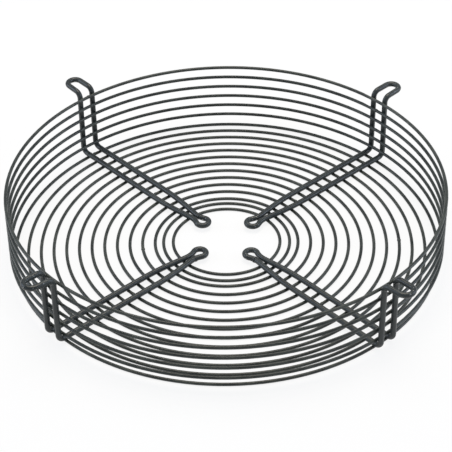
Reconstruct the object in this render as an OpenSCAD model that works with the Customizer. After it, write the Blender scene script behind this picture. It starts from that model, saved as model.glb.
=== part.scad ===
// Basket guard for an axial fan, welded from round steel wire and powder coated.
// Concentric rings form a flat floor and an upright wall. Four arms, each bent from one
// closed loop of thicker wire, lie inside the floor and climb the outside of the wall.
// An arm starts in a small eye for the motor screw and ends in a slotted eye for the rim screw.
//
// Axes: Z is the fan axis, and the basket opens towards +Z.
// Origin: on the axis, at the underside of the floor rings, so the guard stands on z = 0.

/* [Floor] */
// Diameter of the outermost floor ring, measured on the wire's centreline
floor_d = 400; // [320:2:500]
// Diameter of the innermost evenly spaced floor ring, on the centreline
floor_inner_d = 136; // [126:2:170]
// Number of evenly spaced floor rings
floor_rings = 12; // [6:1:14]
// Diameter of the innermost hub ring, on the centreline
hub_d = 101.6; // [84:0.2:102]
// Radial spacing of the two hub rings
hub_pitch = 9.2; // [7.5:0.1:11]

/* [Wall] */
// Depth, from the underside of the floor rings to the top of the flange wire beside the leg
depth = 77.5; // [60:0.5:110]
// Number of wall rings
wall_rings = 6; // [3:1:8]
// How far the wall rings stand outside the outermost floor ring
wall_step = 3.6; // [2:0.1:6]
// Height of the lowest wall ring above the floor rings, centre to centre
wall_start = 10.8; // [9:0.1:16]
// Clear gap between the top wall ring and the flange wire above it
rim_gap = 1.5; // [0.5:0.1:8]

/* [Wire] */
// Diameter of the ring wire, coated
ring_wire_d = 3.1; // [2:0.1:4]
// Diameter of the arm wire, coated
arm_wire_d = 5.4; // [4:0.1:6]
// How far the welds sink a ring into an arm wire
set_down = 0.3; // [0.2:0.05:0.5]
// Centreline radius of the bends at both ends of a leg
bend_r = 6; // [5:0.5:9]

/* [Arms] */
// Direction of the first arm, in degrees from +X
arm_start = 45; // [0:5:85]
// Spacing of an arm's two wires, centre to centre
twin_pitch = 15.6; // [14:0.1:19]
// How much closer the two wires stand at the top of the legs than at the bottom
leg_pinch = 0.8; // [0:0.1:1.5]
// Pitch circle of the four motor eyes
motor_pcd = 68.4; // [60:0.2:84]
// Bore of a motor eye
motor_eye_d = 6.4; // [5.5:0.1:8]
// Clear gap between the two wires at the neck of a motor eye
neck_gap = 1.1; // [1:0.1:2.5]
// Centreline radius of the bends that close the neck
neck_bend_r = 21; // [16:1:26]
// Length over which the wires spread from the neck to their full spacing
spread_run = 34.5; // [30:0.5:44]
// Centreline radius of the easy bends at the end of the spread
spread_bend_r = 250; // [150:10:300]

/* [Flange] */
// Distance from the leg to the centre of the slotted eye
flange_run = 17; // [12:0.5:30]
// Width of the slotted eye between its wires
slot_w = 8.7; // [6.5:0.1:10]
// Angle by which the flange rises outwards, in degrees
flange_rise = 2.5; // [0:0.5:5]

/* [Weld seams] */
// Length of the upset bead where a wire's two ends are butt-welded
seam_len = 1.4; // [0.8:0.1:2]
// How far the bead stands proud of a ring wire
ring_seam_rise = 0.25; // [0.1:0.05:0.4]
// How far the bead stands proud of an arm wire
arm_seam_rise = 0.35; // [0.1:0.05:0.5]
// Direction of the seam on the fourth ring from the centre, in degrees
fourth_seam = 191; // [150:1:210]
// Direction of the seam on the eleventh ring from the centre, in degrees
eleventh_seam = 2; // [0:1:30]

/* [Hidden] */
$fn = 48;
ring_fn = 160;
arms = 4;
hub_rings = 2;
turn = 360 / arms;
coating = "#363b39";
ring_r = ring_wire_d / 2;
arm_r = arm_wire_d / 2;
// A bend stretches the wire, so it runs this much thinner there.
bend_draw = 0.06;
// A bend runs this far into the straight wire on each side of it.
bend_lap = 0.2;

// Rings
floor_pitch = (floor_d - floor_inner_d) / 2 / (floor_rings - 1);
floor_ring_z = ring_r;
wall_ring_r = floor_d / 2 + wall_step;
wall_low_z = floor_ring_z + wall_start;
wall_high_z = depth - arm_wire_d - rim_gap - ring_r;
wall_pitch = (wall_high_z - wall_low_z) / (wall_rings - 1);
seam_fourth_index = 3;
seam_eleventh_index = 10;

// Arm, drawn along +X: x runs outwards, y across the arm's two wires
arm_z = floor_ring_z + ring_r + arm_r - set_down;
half_twin = twin_pitch / 2;
half_top = half_twin - leg_pinch / 2;
leg_reach = wall_ring_r + ring_r + arm_r - set_down;
leg_x = sqrt(leg_reach * leg_reach - half_twin * half_twin);
flange_z = depth - arm_r;

// Motor eye: the eye's bend meets the neck's reverse bend where their circles touch
eye_x = motor_pcd / 2;
eye_bend_r = (motor_eye_d + arm_wire_d) / 2;
neck_y = (neck_gap + arm_wire_d) / 2 + neck_bend_r;
eye_end_deg = asin(neck_y / (eye_bend_r + neck_bend_r));
neck_x = eye_x + (eye_bend_r + neck_bend_r) * cos(eye_end_deg);
eye_end = [eye_x + eye_bend_r * cos(eye_end_deg), eye_bend_r * sin(eye_end_deg)];
spread_x = neck_x + spread_run;
spread_d = norm([spread_run, half_twin - neck_y]);
spread_deg = 90 + atan2(half_twin - neck_y, spread_run) - acos(neck_bend_r / spread_d);
neck_turn = spread_deg + 90 - eye_end_deg;
neck_tangent = neck_bend_r * tan(neck_turn / 2);
// The arm's own butt weld sits this far round the reverse bend, before its narrowest point
arm_seam_deg = 8;

// Slotted eye, in the plane of the flange
slot_bend_r = (slot_w + arm_wire_d) / 2;
flange_in_deg = asin(slot_bend_r / norm([flange_run, half_top])) - atan2(half_top, flange_run);
slot_start = [flange_run - slot_bend_r * sin(flange_in_deg), slot_bend_r * cos(flange_in_deg)];

// Corners of one side of an arm, from the motor eye out to the slotted eye
side_path = [
    [eye_end.x, eye_end.y, arm_z],
    [eye_end.x + neck_tangent * sin(eye_end_deg), eye_end.y - neck_tangent * cos(eye_end_deg), arm_z],
    [spread_x, half_twin, arm_z],
    [leg_x, half_twin, arm_z],
    [leg_x, half_top, flange_z],
    on_flange(slot_start)
];
// Bend radius at each of those corners
side_bends = [0, neck_bend_r, spread_bend_r, bend_r, bend_r, 0];
// The same side as the rings meet it: its leg runs straight up, with no bend at the top
seat_path = [for (i = [0 : 4]) side_path[i]];

// Geometry helpers

// A point of the tilted flange plane, from its distance out from the leg and across the arm
function on_flange(p) = [
    leg_x + p.x * cos(flange_rise),
    p.y,
    flange_z + p.x * sin(flange_rise)
];

function unit(v) = v / norm(v);

// Unit vector from corner i of a path towards the corner before it, and towards the one after
function back_dir(path, i) = unit(path[i - 1] - path[i]);
function fore_dir(path, i) = unit(path[i + 1] - path[i]);

// Angle that the wire turns through at corner i
function corner_turn(path, i) = 180 - acos(back_dir(path, i) * fore_dir(path, i));

// Distance from corner i to either end of its bend; a path's two ends have none
function corner_cut(path, bends, i) =
    i == 0 || i == len(path) - 1 ? 0 : bends[i] * tan(corner_turn(path, i) / 2);

// Where the floor rings sit, counted outwards from the innermost hub ring
function floor_ring_r(i) =
    i < hub_rings ? hub_d / 2 + i * hub_pitch : floor_inner_d / 2 + (i - hub_rings) * floor_pitch;

// Most seams are hidden between the two wires of an arm
function seam_under_arm(i) = arm_start + turn * (i % arms);
function floor_seam(i) =
    i == seam_fourth_index ? fourth_seam
    : i == seam_eleventh_index ? eleventh_seam
    : seam_under_arm(i);

// Draws its children in a frame given by its origin and three axes
module in_frame(o, x, y, z) {
    multmatrix([
        [x.x, y.x, z.x, o.x],
        [x.y, y.y, z.y, o.y],
        [x.z, y.z, z.z, o.z],
        [0, 0, 0, 1]
    ]) children();
}

// Arc of wire about Z, from +X towards +Y, lapping into the wire at both ends
module wire_arc(bend, angle, d, lap) {
    lap_deg = lap / bend * 180 / PI;
    rotate([0, 0, -lap_deg])
        rotate_extrude(angle = angle + 2 * lap_deg)
            translate([bend, 0]) circle(d = d);
}

// Straight wire; the quarter turn keeps the seam of its surface to the side, clear of the rings
module straight(from, to, d) {
    run = to - from;
    translate(from)
        rotate([0, acos(run.z / norm(run)), atan2(run.y, run.x)])
            rotate([0, 0, 90])
                cylinder(h = norm(run), d = d);
}

// The bend at corner i of a path
module bend_at(path, bends, i, d) {
    back = back_dir(path, i);
    fore = fore_dir(path, i);
    start = path[i] + back * corner_cut(path, bends, i);
    centre = path[i] + unit(back + fore) * bends[i] / sin(90 - corner_turn(path, i) / 2);
    outward = unit(start - centre);
    in_frame(centre, outward, -back, cross(outward, -back))
        wire_arc(bends[i], corner_turn(path, i), d - bend_draw, bend_lap);
}

// Wire that runs straight between the corners of a path and bends at each of them
module bent_wire(path, bends, d) {
    last = len(path) - 1;
    for (i = [1 : last - 1])
        bend_at(path, bends, i, d);
    for (i = [1 : last]) {
        along = back_dir(path, i);
        from = path[i - 1] - along * corner_cut(path, bends, i - 1);
        to = path[i] + along * corner_cut(path, bends, i);
        if (norm(to - from) > bend_lap)
            straight(from, to, d);
    }
}

// Upset bead of a butt weld round a wire that runs along Z, over part of the wire's girth from +X
module seam_bead(d, rise, girth) {
    translate([0, 0, -seam_len / 2])
        rotate_extrude(angle = girth)
            square([d / 2 + rise, seam_len]);
}

// Rings

module plain_ring(r, seam) {
    rotate_extrude($fn = ring_fn)
        translate([r, 0]) circle(r = ring_r);
    // The bead is dressed flush underneath, where the guard stands on its rings
    rotate([0, 0, seam])
        translate([r, 0, 0])
            rotate([90, 0, 0])
                seam_bead(ring_wire_d, ring_seam_rise, 180);
}

// A ring with the saddles that the welds press into it wherever it meets an arm
module seated_ring(r, z, seam) {
    difference() {
        translate([0, 0, z]) plain_ring(r, seam);
        for (k = [0 : arms - 1])
            arm_frame(k) {
                arm_sides(seat_path);
                arm_seam();
            }
    }
}

module floor_ring(i) {
    color(coating)
        seated_ring(floor_ring_r(i), floor_ring_z, floor_seam(i));
}

module wall_ring(i) {
    color(coating)
        seated_ring(wall_ring_r, wall_low_z + i * wall_pitch, seam_under_arm(i));
}

// Arms

// Turns its children to where arm k lies; every other arm is a mirror image of its neighbours
module arm_frame(k) {
    rotate([0, 0, arm_start + turn * k])
        mirror([0, k % 2, 0])
            children();
}

// The two wires of an arm, without its eyes
module arm_sides(path) {
    for (side = [0, 1])
        mirror([0, side, 0])
            bent_wire(path, side_bends, arm_wire_d);
}

// Round eye at the inner end, which takes a motor screw
module motor_eye() {
    translate([eye_x, 0, arm_z])
        rotate([0, 0, eye_end_deg])
            wire_arc(eye_bend_r, 360 - 2 * eye_end_deg, arm_wire_d, 0);
}

// Slotted eye at the end of the flange, which takes a rim screw
module slotted_eye() {
    start_deg = 90 + flange_in_deg;
    translate(on_flange([flange_run, 0]))
        rotate([0, -flange_rise, 0])
            rotate([0, 0, -start_deg])
                wire_arc(slot_bend_r, 2 * start_deg, arm_wire_d - bend_draw, bend_lap);
}

// Butt weld of the arm's wire, on the +Y side of the neck
module arm_seam() {
    translate([neck_x, neck_y, arm_z])
        rotate([0, 0, -90 - arm_seam_deg])
            translate([neck_bend_r, 0, 0])
                rotate([90, 0, 0])
                    seam_bead(arm_wire_d, arm_seam_rise, 360);
}

module arm(k) {
    color(coating)
        arm_frame(k) {
            motor_eye();
            arm_sides(side_path);
            slotted_eye();
            arm_seam();
        }
}

for (i = [1 : hub_rings])
    floor_ring(i - 1);
for (i = [1 : floor_rings])
    floor_ring(hub_rings + i - 1);
for (i = [1 : wall_rings])
    wall_ring(i - 1);
for (k = [1 : arms])
    arm(k - 1);
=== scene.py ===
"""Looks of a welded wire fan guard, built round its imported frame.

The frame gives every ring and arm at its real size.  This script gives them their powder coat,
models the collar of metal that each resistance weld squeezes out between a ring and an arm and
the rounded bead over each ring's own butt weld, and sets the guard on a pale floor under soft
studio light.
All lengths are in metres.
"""

import logging
import math
from collections.abc import Callable
from dataclasses import dataclass, field
from enum import Enum

import bmesh
import bpy
from mathutils import Matrix, Vector
from mathutils.bvhtree import BVHTree


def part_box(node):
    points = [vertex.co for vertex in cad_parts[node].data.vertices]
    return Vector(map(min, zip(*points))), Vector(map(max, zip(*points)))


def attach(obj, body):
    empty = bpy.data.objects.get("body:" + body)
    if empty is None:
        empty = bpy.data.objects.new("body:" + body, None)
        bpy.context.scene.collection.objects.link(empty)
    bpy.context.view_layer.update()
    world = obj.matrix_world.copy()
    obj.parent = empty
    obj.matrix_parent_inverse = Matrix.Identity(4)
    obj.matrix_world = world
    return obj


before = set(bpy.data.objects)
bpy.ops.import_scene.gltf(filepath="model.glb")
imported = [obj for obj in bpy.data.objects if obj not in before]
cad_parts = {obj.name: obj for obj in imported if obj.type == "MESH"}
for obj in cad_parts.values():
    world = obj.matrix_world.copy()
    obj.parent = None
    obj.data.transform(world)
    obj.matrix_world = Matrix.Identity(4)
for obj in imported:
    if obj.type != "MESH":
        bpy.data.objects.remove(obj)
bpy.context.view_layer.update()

MM = 0.001
BODY = "root"
UP = Vector((0.0, 0.0, 1.0))
SMOOTH_UNDER = 60

log = logging.getLogger("fan_guard")


class Slot(Enum):
    """Material slots of the record."""

    RING = "ring_wire"
    ARM = "arm_wire"


def linear(hex_colour: str) -> tuple[float, float, float, float]:
    """Turn an sRGB colour into the linear values that Blender's sockets hold.

    Args:
        hex_colour: Six hex digits after a hash sign.

    Returns:
        Red, green, blue and an alpha of 1.
    """
    channels = [int(hex_colour[i : i + 2], 16) / 255 for i in (1, 3, 5)]
    red, green, blue = (
        c / 12.92 if c <= 0.04045 else ((c + 0.055) / 1.055) ** 2.4 for c in channels
    )
    return red, green, blue, 1.0


def add_node(
    tree: bpy.types.NodeTree, kind: str, settings: dict | None = None, links: dict | None = None
) -> bpy.types.Node:
    """Add a shader node, set what stays constant on it and link what feeds it.

    Args:
        tree: Node tree that takes the node.
        kind: Blender's name for the node type.
        settings: Value for each property by name, or input socket by name or number.
        links: Output socket that feeds each input socket, by the input's name or number.

    Returns:
        The new node.
    """
    node = tree.nodes.new(kind)
    for name, value in (settings or {}).items():
        if isinstance(name, int) or name in node.inputs:
            node.inputs[name].default_value = value
        else:
            setattr(node, name, value)
    for name, source in (links or {}).items():
        tree.links.new(source, node.inputs[name])
    return node


def deselect_all() -> None:
    """Leave no object selected or active."""
    bpy.ops.object.select_all(action="DESELECT")
    bpy.context.view_layer.objects.active = None


def pick_points(piece: bpy.types.Object, wanted: Callable[[Vector], bool]) -> None:
    """Select the points of a piece that pass a test, and nothing else.

    Args:
        piece: Object in edit mode.
        wanted: Test of a point's place.
    """
    mesh = bmesh.from_edit_mesh(piece.data)
    for point in mesh.verts:
        point.select = wanted(point.co)
    mesh.select_flush(False)
    mesh.select_flush(True)
    bmesh.update_edit_mesh(piece.data)


def pick_edges(piece: bpy.types.Object, wanted: Callable[[Vector], bool]) -> None:
    """Select the edges of a piece that pass a test, and nothing else.

    Args:
        piece: Object in edit mode.
        wanted: Test of the step from one end of an edge to the other.
    """
    bpy.ops.mesh.select_mode(type="EDGE")
    mesh = bmesh.from_edit_mesh(piece.data)
    for edge in mesh.edges:
        edge.select = wanted(edge.verts[1].co - edge.verts[0].co)
    bmesh.update_edit_mesh(piece.data)


def turned_sleeve(facets: int, profile: list[tuple[float, float]]) -> bpy.types.Object:
    """Model a closed sleeve round Z whose girth follows a profile.

    Args:
        facets: Number of flats round the sleeve.
        profile: Evenly spaced heights, lowest first, each with the radius there.

    Returns:
        The sleeve, centred on the origin.
    """
    low, high = profile[0][0], profile[-1][0]
    step = (high - low) / (len(profile) - 1)
    deselect_all()
    bpy.ops.mesh.primitive_cylinder_add(
        vertices=facets,
        radius=1.0,
        depth=high - low,
        end_fill_type="TRIFAN",
        location=(0.0, 0.0, (low + high) / 2),
    )
    sleeve = bpy.context.object
    bpy.ops.object.transform_apply(location=True)
    bpy.ops.object.mode_set(mode="EDIT")
    pick_edges(sleeve, lambda run: abs(run.z) > 0.9 * (high - low))
    bpy.ops.mesh.subdivide(number_cuts=len(profile) - 2)
    bpy.ops.mesh.select_mode(type="VERT")
    for height, radius in profile:
        pick_points(sleeve, lambda co, at=height: abs(co.z - at) < step / 3)
        bpy.ops.transform.resize(value=(radius, radius, 1.0), center_override=(0.0, 0.0, height))
    bpy.ops.object.mode_set(mode="OBJECT")
    return sleeve


def close_up(piece: bpy.types.Object, angle: float) -> None:
    """Turn a piece's faces outwards and smooth it across its shallow edges.

    Args:
        piece: Finished piece in object mode.
        angle: Degrees up to which an edge is smoothed over.
    """
    deselect_all()
    piece.select_set(True)
    bpy.context.view_layer.objects.active = piece
    bpy.ops.object.mode_set(mode="EDIT")
    bpy.ops.mesh.select_all(action="SELECT")
    bpy.ops.mesh.normals_make_consistent(inside=False)
    bpy.ops.object.mode_set(mode="OBJECT")
    bpy.ops.object.shade_smooth_by_angle(angle=math.radians(angle))


def placed_copy(pattern: bpy.types.Object, place: Matrix) -> bpy.types.Object:
    """Copy a piece with its own mesh and put the place into the mesh.

    Args:
        pattern: The piece to copy, modelled at the origin.
        place: Where the copy goes.

    Returns:
        The copy.
    """
    copy = pattern.copy()
    copy.data = pattern.data.copy()
    copy.data.transform(place)
    bpy.context.scene.collection.objects.link(copy)
    return copy


def joined(pieces: list[bpy.types.Object], name: str) -> bpy.types.Object:
    """Join pieces into one.

    Args:
        pieces: What to join, all placed through their meshes.
        name: Name of the whole.

    Returns:
        The whole.
    """
    deselect_all()
    for piece in pieces:
        piece.select_set(True)
    bpy.context.view_layer.objects.active = pieces[0]
    bpy.ops.object.join()
    pieces[0].name = pieces[0].data.name = name
    return pieces[0]


def axes(origin: Vector, x: Vector, z: Vector) -> Matrix:
    """Build a right-handed frame.

    Args:
        origin: Where the frame stands.
        x: Direction that its X axis follows as nearly as its Z axis lets it.
        z: Direction of its Z axis.

    Returns:
        The frame as a placing matrix.
    """
    z = z.normalized()
    y = z.cross(x).normalized()
    return Matrix.Translation(origin) @ Matrix((y.cross(z), y, z)).transposed().to_4x4()


@dataclass(frozen=True)
class PowderCoat:
    """Polyester powder, sprayed on cleaned steel wire and cured in an oven.

    It levels into a satin skin with a fine orange peel.  Soft areas, lighter and darker at random
    along the wires, are painted sheen for the soft highlights along them, and also vary the gloss.
    Round the eyes, where screws bear, small chips show bright steel.
    """

    name: str
    base: str
    light: str
    chipped: bool = False
    roughness: float = 0.34
    peel_pitch: float = 1.6 * MM
    peel_depth: float = 0.006 * MM
    sheen_patch_pitch: float = 17 * MM
    chip_pitch: float = 1.9 * MM
    chip_depth: float = 0.05 * MM
    chip_edge: tuple[float, float] = (0.70, 0.725)
    sheen_patch_edge: tuple[float, float] = (0.34, 0.66)
    gloss_edge: tuple[float, float] = (0.3, 0.7)
    gloss_spread: tuple[float, float] = (-0.05, 0.07)
    steel: str = "#A9ABA8"
    steel_roughness: float = 0.33
    motor_zone: tuple[float, float] = (41 * MM, 45 * MM)
    rim_zone: tuple[float, float] = (214 * MM, 219 * MM)

    def chips(self, tree: bpy.types.NodeTree, place: bpy.types.NodeSocket) -> bpy.types.NodeSocket:
        """Add the chips, which lie only as near the fan axis or as far from it as the eyes do.

        Args:
            tree: Node tree that takes the nodes.
            place: Coordinates in the guard's own frame.

        Returns:
            A share that is 1 on bare steel and 0 on the coat.
        """
        flat = add_node(
            tree, "ShaderNodeVectorMath", {"operation": "MULTIPLY", 1: (1.0, 1.0, 0.0)}, {0: place}
        )
        reach = add_node(
            tree, "ShaderNodeVectorMath", {"operation": "LENGTH"}, {0: flat.outputs[0]}
        )
        near = add_node(
            tree,
            "ShaderNodeMapRange",
            {"From Min": self.motor_zone[1], "From Max": self.motor_zone[0]},
            {"Value": reach.outputs["Value"]},
        )
        far = add_node(
            tree,
            "ShaderNodeMapRange",
            {"From Min": self.rim_zone[0], "From Max": self.rim_zone[1]},
            {"Value": reach.outputs["Value"]},
        )
        zone = add_node(
            tree,
            "ShaderNodeMath",
            {"operation": "MAXIMUM"},
            {0: near.outputs["Result"], 1: far.outputs["Result"]},
        )
        specks = add_node(
            tree,
            "ShaderNodeTexNoise",
            {"Scale": 1 / self.chip_pitch, "Detail": 1.0, "Roughness": 0.4},
            {"Vector": place},
        )
        edge = add_node(
            tree,
            "ShaderNodeMapRange",
            {"From Min": self.chip_edge[0], "From Max": self.chip_edge[1]},
            {"Value": specks.outputs["Fac"]},
        )
        share = add_node(
            tree,
            "ShaderNodeMath",
            {"operation": "MULTIPLY"},
            {0: zone.outputs[0], 1: edge.outputs["Result"]},
        )
        return share.outputs[0]

    def build(self) -> bpy.types.Material:
        """Build the finish as a node material.

        Returns:
            The material, named for the finish.
        """
        material = bpy.data.materials.new(self.name)
        material.use_nodes = True
        tree = material.node_tree
        tree.nodes.clear()
        place = add_node(tree, "ShaderNodeTexCoord").outputs["Object"]
        # Painted sheen: noise mixes the base colour towards a lighter one in random patches,
        # standing in for soft highlights along the wires; the same noise varies the roughness.
        sheen_patches = add_node(
            tree,
            "ShaderNodeTexNoise",
            {"Scale": 1 / self.sheen_patch_pitch, "Detail": 3.0, "Roughness": 0.55},
            {"Vector": place},
        )
        spread = add_node(
            tree,
            "ShaderNodeMapRange",
            {"From Min": self.sheen_patch_edge[0], "From Max": self.sheen_patch_edge[1]},
            {"Value": sheen_patches.outputs["Fac"]},
        )
        colour = add_node(
            tree,
            "ShaderNodeMix",
            {"data_type": "RGBA", 6: linear(self.base), 7: linear(self.light)},
            {"Factor": spread.outputs["Result"]},
        ).outputs[2]
        gloss = add_node(
            tree,
            "ShaderNodeMapRange",
            {
                "From Min": self.gloss_edge[0],
                "From Max": self.gloss_edge[1],
                "To Min": self.roughness + self.gloss_spread[0],
                "To Max": self.roughness + self.gloss_spread[1],
            },
            {"Value": sheen_patches.outputs["Fac"]},
        ).outputs["Result"]
        peel = add_node(
            tree,
            "ShaderNodeTexNoise",
            {"Scale": 1 / self.peel_pitch, "Detail": 2.0, "Roughness": 0.5},
            {"Vector": place},
        )
        skin = add_node(
            tree,
            "ShaderNodeBump",
            {"Strength": 1.0, "Distance": self.peel_depth},
            {"Height": peel.outputs["Fac"]},
        ).outputs["Normal"]
        fed = {"Base Color": colour, "Roughness": gloss, "Normal": skin}
        if self.chipped:
            bare = self.chips(tree, place)
            fed["Base Color"] = add_node(
                tree,
                "ShaderNodeMix",
                {"data_type": "RGBA", 7: linear(self.steel)},
                {"Factor": bare, 6: colour},
            ).outputs[2]
            fed["Roughness"] = add_node(
                tree, "ShaderNodeMix", {3: self.steel_roughness}, {"Factor": bare, 2: gloss}
            ).outputs[0]
            fed["Normal"] = add_node(
                tree,
                "ShaderNodeBump",
                {"Strength": 1.0, "Distance": self.chip_depth, "invert": True},
                {"Height": bare, "Normal": skin},
            ).outputs["Normal"]
            fed["Metallic"] = bare
        coat = add_node(tree, "ShaderNodeBsdfPrincipled", {"IOR": 1.5}, fed)
        add_node(tree, "ShaderNodeOutputMaterial", links={"Surface": coat.outputs["BSDF"]})
        return material


@dataclass(frozen=True)
class WhiteSweep:
    """Matt white paper under and behind the guard, seen as a plain pale ground."""

    name: str = "matt_white_paper"
    seen_paper: str = "#FFFFFF"
    bounce_paper: str = "#B9B9B7"
    white: str = "#FFFFFF"
    shadow_share: float = 0.14

    def build(self) -> bpy.types.Material:
        """Build paper that is white to the eye, with its shadows softened.

        Returns:
            The material.
        """
        material = bpy.data.materials.new(self.name)
        material.use_nodes = True
        tree = material.node_tree
        tree.nodes.clear()
        rays = add_node(tree, "ShaderNodeLightPath")
        seen = add_node(
            tree,
            "ShaderNodeMath",
            {"operation": "MAXIMUM"},
            {0: rays.outputs["Is Camera Ray"], 1: rays.outputs["Is Glossy Ray"]},
        )
        share = add_node(
            tree,
            "ShaderNodeMath",
            {"operation": "MULTIPLY", 1: 1 - self.shadow_share},
            {0: seen.outputs[0]},
        )
        tone = add_node(
            tree,
            "ShaderNodeMix",
            {"data_type": "RGBA", 6: linear(self.bounce_paper), 7: linear(self.seen_paper)},
            {"Factor": seen.outputs[0]},
        )
        paper = add_node(tree, "ShaderNodeBsdfDiffuse", links={"Color": tone.outputs[2]})
        glow = add_node(tree, "ShaderNodeEmission", {"Color": linear(self.white), "Strength": 1.0})
        mix = add_node(
            tree,
            "ShaderNodeMixShader",
            links={0: share.outputs[0], 1: paper.outputs[0], 2: glow.outputs[0]},
        )
        add_node(tree, "ShaderNodeOutputMaterial", links={"Surface": mix.outputs[0]})
        return material


@dataclass
class WeldCollar:
    """Steel squeezed out round the spot where a ring is resistance-welded to an arm wire.

    The coat bridges it, so it shows as a small fillet in the angle between the two wires.
    """

    along_arm: float = 1.42 * MM
    along_ring: float = 1.78 * MM
    half_height: float = 0.86 * MM
    waist: float = 0.9
    facets: int = 16

    def model(self) -> bpy.types.Object:
        """Model the collar at the origin: arm along X, ring along Y, and the arm above.

        Returns:
            The collar.
        """
        collar = turned_sleeve(self.facets, [(-1.0, 1.0), (0.0, self.waist), (1.0, 1.0)])
        bpy.ops.object.mode_set(mode="EDIT")
        bpy.ops.mesh.select_all(action="SELECT")
        bpy.ops.transform.resize(
            value=(self.along_arm, self.along_ring, self.half_height),
            center_override=(0.0, 0.0, 0.0),
        )
        bpy.ops.object.mode_set(mode="OBJECT")
        close_up(collar, SMOOTH_UNDER)
        return collar


@dataclass
class SeamBead:
    """Rounded bead that a butt weld leaves round a wire, dressed flush underneath on a ring."""

    wire_radius: float
    rise: float
    half_length: float = 1.35 * MM
    facets: int = 20
    heights: tuple[float, ...] = (-1.0, -0.6, -0.2, 0.2, 0.6, 1.0)
    rises: tuple[float, ...] = (-0.12, 1.05, 1.35, 1.35, 1.05, -0.12)

    def model(self, upper_half: bool) -> bpy.types.Object:
        """Model the bead at the origin, on a wire that runs along Z, with its upper side at +X.

        Args:
            upper_half: Whether the bead covers only the upper half of the wire.

        Returns:
            The bead.
        """
        profile = [
            (height * self.half_length, self.wire_radius + rise * self.rise)
            for height, rise in zip(self.heights, self.rises)
        ]
        bead = turned_sleeve(self.facets, profile)
        if upper_half:
            bpy.ops.object.mode_set(mode="EDIT")
            bpy.ops.mesh.select_all(action="SELECT")
            bpy.ops.mesh.bisect(
                plane_co=(0.0, 0.0, 0.0), plane_no=(1.0, 0.0, 0.0), use_fill=True, clear_inner=True
            )
            bpy.ops.object.mode_set(mode="OBJECT")
        close_up(bead, SMOOTH_UNDER)
        return bead


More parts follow.
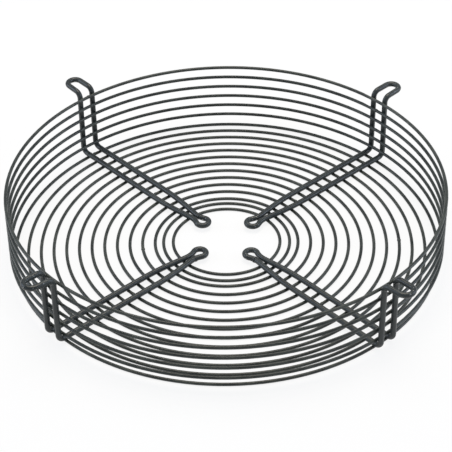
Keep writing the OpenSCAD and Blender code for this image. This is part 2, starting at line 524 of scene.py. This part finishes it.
@dataclass
class Guard:
    """The guard as a whole: the frame's own wires, their finish, and the welds that join them."""

    # One powder coat on both wires: the arm copy's darker, cooler colours are painted shade and
    # cool painted reflection for the bluish legs, and the ring copy's lighter greener one is partly
    # painted highlight.
    ring_finish: PowderCoat = PowderCoat("satin_powder_coat_ring_wire", "#272C29", "#454A45")
    arm_finish: PowderCoat = PowderCoat(
        "satin_powder_coat_arm_wire", "#262B2B", "#3A403F", chipped=True
    )
    ring_radius: float = 1.55 * MM
    arm_radius: float = 2.7 * MM
    set_down: float = 0.3 * MM
    search: float = 13 * MM
    step: float = 0.1 * MM
    seam_place: dict[str, float] = field(
        default_factory=lambda: {"floor_ring_2": 191.0, "floor_ring_9": 2.0}
    )
    ring_coat: bpy.types.Material | None = None
    arm_coat: bpy.types.Material | None = None
    arm_trees: list[tuple[float, BVHTree]] = field(default_factory=list)

    def dress(self) -> None:
        """Give every wire of the frame its coat."""
        self.ring_coat = self.ring_finish.build()
        self.arm_coat = self.arm_finish.build()
        for name, node in sorted(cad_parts.items()):
            is_arm = name.startswith("arm_")
            node.data.materials.clear()
            node.data.materials.append(self.arm_coat if is_arm else self.ring_coat)
            if is_arm:
                mesh = node.data
                tree = BVHTree.FromPolygons(
                    [v.co.copy() for v in mesh.vertices], [tuple(p.vertices) for p in mesh.polygons]
                )
                low, high = (Vector(c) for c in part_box(name))
                centre = (low + high) / 2
                self.arm_trees.append((math.atan2(centre.y, centre.x), tree))
            log.info("%s: %d faces", name, len(node.data.polygons))

    def wire_middles(
        self, tree: BVHTree, heading: float, radius: float, height: float, upright: bool
    ) -> list[Vector]:
        """Find where an arm's two wires cross the circle of a ring.

        Args:
            tree: The arm's surface.
            heading: The arm's direction from the fan axis, in radians.
            radius: Radius of the circle.
            height: Height of the circle.
            upright: Whether the wires run up past the ring, outside it, and not over it.

        Returns:
            The point of the circle that each wire's middle lies over.
        """
        hits: list[list[float]] = []
        count = int(self.search / self.step)
        reach = 2 * self.arm_radius + self.ring_radius
        last_hit = False
        for index in range(-count, count + 1):
            angle = heading + index * self.step / radius
            out = Vector((math.cos(angle), math.sin(angle), 0.0))
            start = out * radius + UP * height
            where = tree.ray_cast(start, out if upright else UP, reach)[0]
            if where is not None:
                if not last_hit:
                    hits.append([])
                hits[-1].append(angle)
            last_hit = where is not None
        middles = [(run[0] + run[-1]) / 2 for run in hits]
        return [Vector((radius * math.cos(a), radius * math.sin(a), height)) for a in middles]

    def weld_ring(self, name: str, collar: bpy.types.Object, bead: bpy.types.Object) -> None:
        """Add a ring's eight weld collars and the bead on its own butt weld.

        Args:
            name: The ring's node.
            collar: Collar to copy.
            bead: Bead to copy.
        """
        low, high = (Vector(c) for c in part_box(name))
        radius = high.y - self.ring_radius
        height = low.z + self.ring_radius
        upright = name.startswith("wall_")
        parts = []
        shifts = (-self.arm_radius / 2, 0.0, self.arm_radius / 2)
        for heading, tree in self.arm_trees:
            near, here, far = (
                self.wire_middles(tree, heading, radius, height + shift, True)
                if upright
                else self.wire_middles(tree, heading, radius + shift, height, False)
                for shift in shifts
            )
            for before, centre, after in zip(near, here, far):
                face = Vector((centre.x, centre.y, 0.0)).normalized() if upright else UP
                spot = centre + face * (self.ring_radius - self.set_down)
                parts.append(placed_copy(collar, axes(spot, after - before, face)))
        seam = math.radians(self.seam_place.get(name, self.seam_heading(name)))
        out = Vector((math.cos(seam), math.sin(seam), 0.0))
        along = UP.cross(out)
        parts.append(placed_copy(bead, axes(out * radius + UP * height, UP, along)))
        welds = joined(parts, f"welds_{name}")
        welds.data.materials.clear()
        welds.data.materials.append(self.ring_coat)
        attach(welds, BODY)
        log.info("welds_%s: %d collars, %d faces", name, len(parts) - 1, len(welds.data.polygons))

    @staticmethod
    def seam_heading(name: str) -> float:
        """Give the heading, in degrees, of the arm between whose wires a ring's own seam lies."""
        kind, number = name.rsplit("_", 1)
        index = int(number) - 1 + (2 if kind == "floor_ring" else 0)
        return 45.0 + 90.0 * (index % 4)

    def weld(self) -> None:
        """Model the collar and the bead once, and copy them to every ring."""
        collar = WeldCollar().model()
        bead = SeamBead(self.ring_radius, 0.25 * MM).model(upper_half=True)
        for name in sorted(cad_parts):
            if not name.startswith("arm_"):
                self.weld_ring(name, collar, bead)
        for pattern in (collar, bead):
            bpy.data.objects.remove(pattern)


@dataclass(frozen=True)
class SoftBox:
    """A square lamp behind a diffuser, turned to face the guard."""

    name: str
    place: tuple[float, float, float]
    side: float
    watts: float
    tint: str

    def hang(self) -> None:
        """Hang the lamp."""
        lamp_data = bpy.data.lights.new(self.name, "AREA")
        lamp_data.shape = "SQUARE"
        lamp_data.size = self.side
        lamp_data.energy = self.watts
        lamp_data.color = linear(self.tint)[:3]
        lamp = bpy.data.objects.new(self.name, lamp_data)
        bpy.context.scene.collection.objects.link(lamp)
        lamp.location = self.place
        lamp.rotation_euler = (-Vector(self.place)).to_track_quat("-Z", "Y").to_euler()


@dataclass
class Studio:
    """Floor, lamps and camera."""

    aim: Vector = Vector((-0.0017, 0.0255, 0.0))
    azimuth: float = 2.96
    elevation: float = 37.298
    distance: float = 1.5678
    roll: float = -0.818
    focal: float = 129.26
    floor_side: float = 8.0
    air: str = "#E2EBF8"
    air_strength: float = 0.45
    lamps: tuple[SoftBox, ...] = (
        SoftBox("overhead_soft_box", (0.0, 0.5, 2.0), 1.3, 26.0, "#FFF3E2"),
        SoftBox("left_soft_box", (-2.0, 0.1, 0.9), 1.2, 14.0, "#DFEAFF"),
        SoftBox("right_soft_box", (2.0, 0.1, 0.9), 1.2, 14.0, "#DFEAFF"),
    )

    def lay_floor(self) -> None:
        """Lay the paper that the guard stands on."""
        deselect_all()
        bpy.ops.mesh.primitive_plane_add(size=self.floor_side)
        floor = bpy.context.object
        floor.name = "floor"
        floor.data.materials.append(WhiteSweep().build())

    def set_world(self) -> None:
        """Light the air round the guard evenly, and show it as the floor's white."""
        world = bpy.data.worlds.new("studio_air")
        world.use_nodes = True
        bpy.context.scene.world = world
        tree = world.node_tree
        tree.nodes.clear()
        rays = add_node(tree, "ShaderNodeLightPath")
        air = add_node(
            tree, "ShaderNodeBackground", {"Color": linear(self.air), "Strength": self.air_strength}
        )
        white = add_node(
            tree, "ShaderNodeBackground", {"Color": linear("#FFFFFF"), "Strength": 1.0}
        )
        mix = add_node(
            tree,
            "ShaderNodeMixShader",
            links={0: rays.outputs["Is Camera Ray"], 1: air.outputs[0], 2: white.outputs[0]},
        )
        add_node(tree, "ShaderNodeOutputWorld", links={"Surface": mix.outputs[0]})

    def place_camera(self) -> None:
        """Stand the camera where it sees the guard as a buyer would, from above the near rim."""
        camera_data = bpy.data.cameras.new("camera")
        camera_data.lens = self.focal
        camera_data.sensor_fit = "HORIZONTAL"
        camera_data.sensor_width = 36.0
        camera = bpy.data.objects.new("camera", camera_data)
        bpy.context.scene.collection.objects.link(camera)
        turn = Matrix.Rotation(math.radians(self.azimuth), 4, "Z")
        tilt = Matrix.Rotation(math.radians(90 - self.elevation), 4, "X")
        lean = Matrix.Rotation(math.radians(self.roll), 4, "Z")
        back = Matrix.Translation((0, 0, self.distance))
        camera.matrix_world = Matrix.Translation(self.aim) @ turn @ tilt @ lean @ back
        bpy.context.scene.camera = camera

    def build(self) -> None:
        """Set up the floor, the air, the lamps and the camera."""
        self.lay_floor()
        self.set_world()
        for lamp in self.lamps:
            lamp.hang()
        self.place_camera()
        bpy.context.scene.view_settings.view_transform = "Standard"


def main() -> None:
    """Dress the frame, add the welds, build the studio and report what was made."""
    logging.basicConfig(level=logging.INFO, format="%(name)s: %(message)s")
    guard = Guard()
    guard.dress()
    guard.weld()
    Studio().build()


if __name__ == "__main__":
    main()
